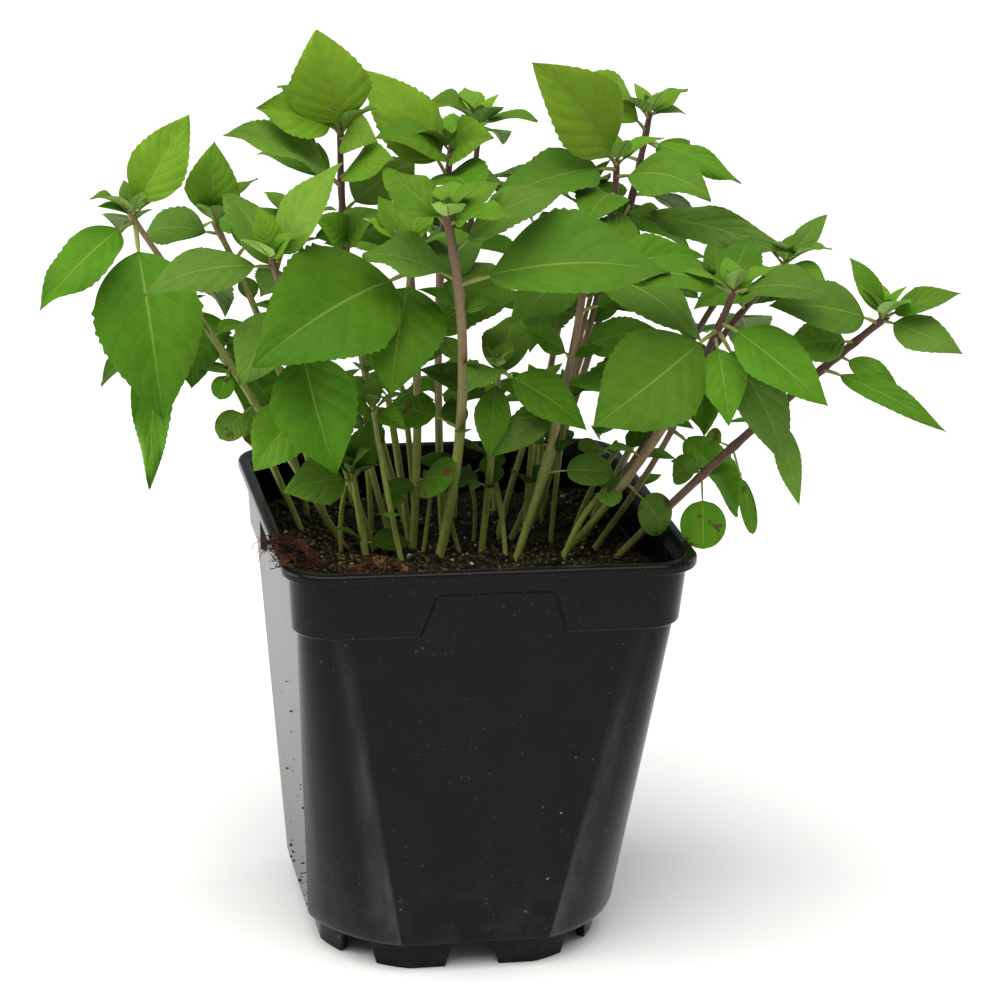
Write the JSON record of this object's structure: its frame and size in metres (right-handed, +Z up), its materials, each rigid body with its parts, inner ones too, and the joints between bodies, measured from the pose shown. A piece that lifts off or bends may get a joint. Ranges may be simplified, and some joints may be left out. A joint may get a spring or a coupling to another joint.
{
  "type": "potted basil plant",
  "caption": "Square black nursery pot filled with peat and crowded with young leafy basil shoots on thin upright stems.",
  "frame": {"origin": "on the ground under the middle of the pot", "axes": "+Z up, +X to the right along the pot's front, +Y towards the pot's back"},
  "size_m": [0.2396, 0.146, 0.2561],
  "materials": {
    "pot": "satin",
    "soil": "matte",
    "fibre": "matte",
    "leaf": "satin"
  },
  "bodies": {
    "root": {"pot": "pot", "soil": "soil", "fibre_tuft": "fibre", "shoot_front": "leaf", "shoot_front_left": "leaf", "shoot_left_front": "leaf", "shoot_left": "leaf", "shoot_left_back": "leaf", "shoot_top_left": "leaf", "shoot_top_middle": "leaf", "shoot_back_middle": "leaf", "shoot_top_right": "leaf", "shoot_far_top": "leaf", "shoot_right_back": "leaf", "shoot_right_front": "leaf", "shoot_far_right": "leaf", "shoot_middle": "leaf", "shoot_low_middle": "leaf", "shoot_back_left": "leaf", "shoot_back_right": "leaf", "shoot_back": "leaf", "shoot_side_left": "leaf", "shoot_side_right": "leaf", "shoot_low_left": "leaf", "shoot_thin_left": "leaf", "shoot_thin_middle": "leaf", "shoot_thin_right": "leaf", "shoot_low_right": "leaf"}
  },
  "joints": []
}
